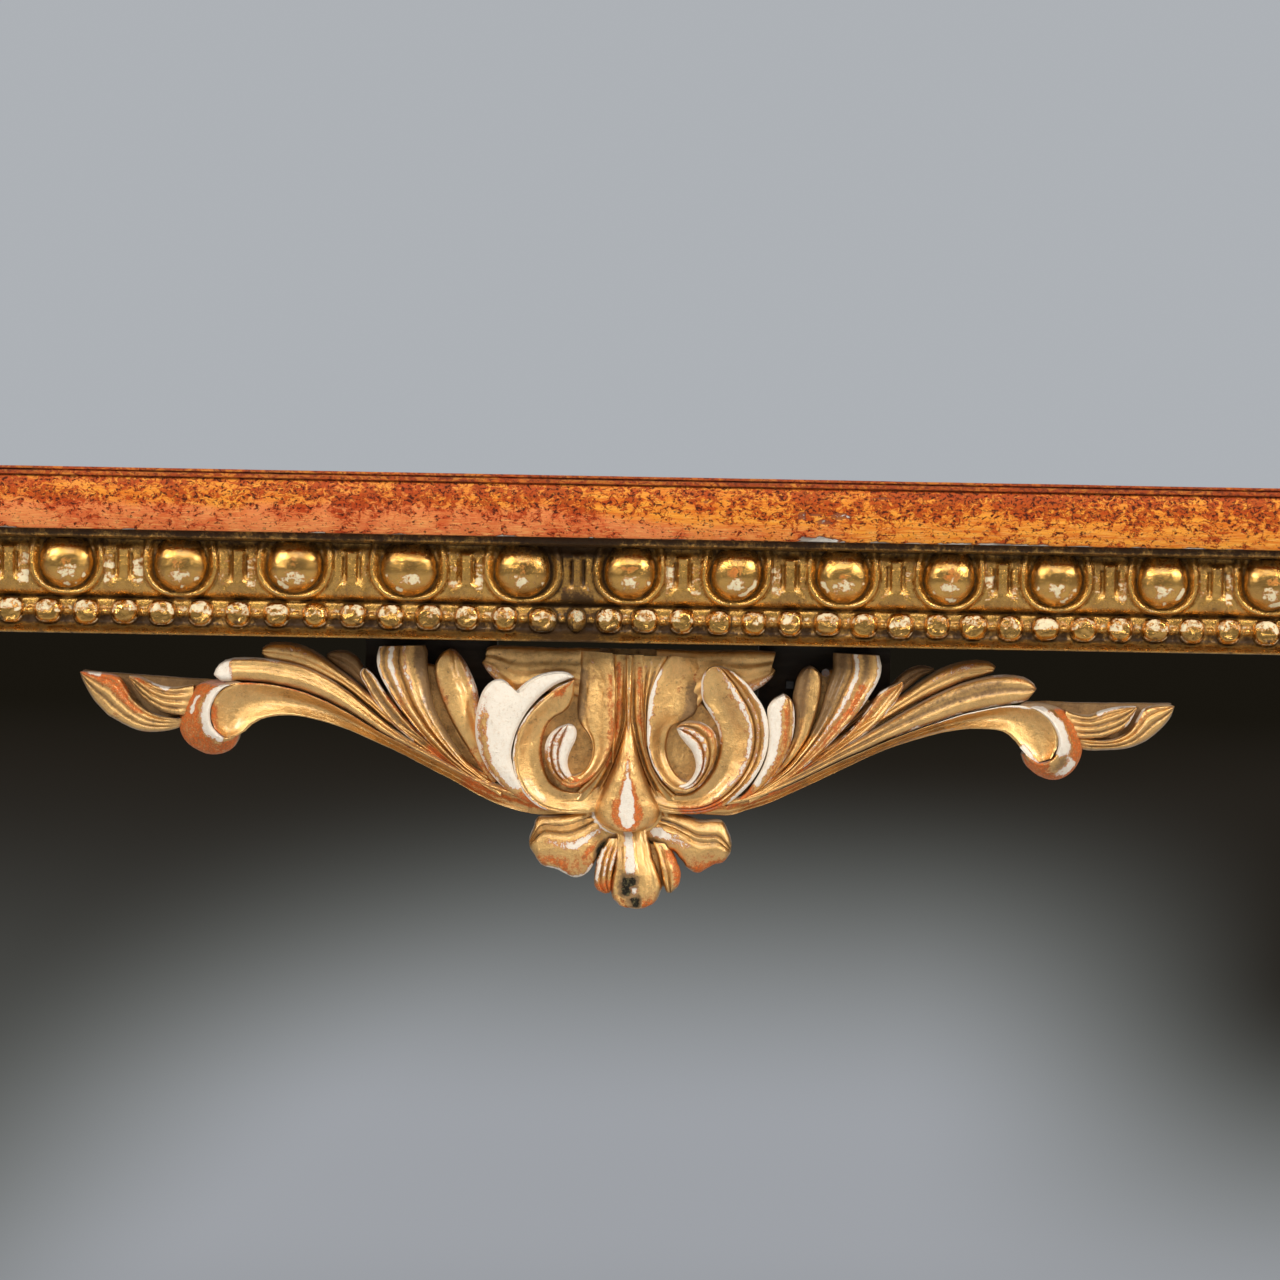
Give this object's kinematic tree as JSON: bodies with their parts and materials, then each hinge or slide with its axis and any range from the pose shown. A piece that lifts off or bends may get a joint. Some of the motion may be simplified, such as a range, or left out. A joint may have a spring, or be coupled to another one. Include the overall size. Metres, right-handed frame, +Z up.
{
  "type": "console table",
  "caption": "Giltwood console table with a painted top, egg-and-dart frieze, carved acanthus pendant and cabriole legs",
  "frame": {"origin": "on the floor under the middle of the table", "axes": "+X along the front to the right, -Y out of the carved front, +Z up"},
  "size_m": [1.4, 0.48, 0.85],
  "materials": {
    "painted_wood": "worn marbled paint, satin",
    "gilt_aged": "old tarnished gold leaf over bole and gesso",
    "gilt_bright": "worn gold leaf over orange bole and cream gesso",
    "bare_pine": "oxidised sawn softwood",
    "oak_peg": "cleft oak",
    "forged_iron": "dark forged iron"
  },
  "bodies": {
    "root": {"top_front_board": "painted_wood", "top_back_board": "painted_wood", "top_moulding_front": "painted_wood", "top_moulding_left": "painted_wood", "top_moulding_right": "painted_wood", "frieze_front_left": "gilt_aged", "frieze_front_right": "gilt_aged", "frieze_left": "gilt_aged", "frieze_right": "gilt_aged", "leg_front_left": "gilt_aged", "leg_front_right": "gilt_aged", "leg_back_left": "gilt_aged", "leg_back_right": "gilt_aged", "bracket_front_left": "gilt_aged", "bracket_front_right": "gilt_aged", "bracket_left_front": "gilt_aged", "bracket_left_back": "gilt_aged", "bracket_right_front": "gilt_aged", "bracket_right_back": "gilt_aged", "pendant": "gilt_bright", "top_tongue": "bare_pine", "rail_front": "bare_pine", "rail_back": "bare_pine", "rail_left": "bare_pine", "rail_right": "bare_pine", "bearer_left": "bare_pine", "bearer_right": "bare_pine", "glue_blocks": "bare_pine", "pendant_block_left": "bare_pine", "pendant_block_right": "bare_pine", "tenon_pegs": "oak_peg", "top_nails": "forged_iron", "pendant_nails": "forged_iron", "repair_nail": "forged_iron"}
  },
  "joints": []
}
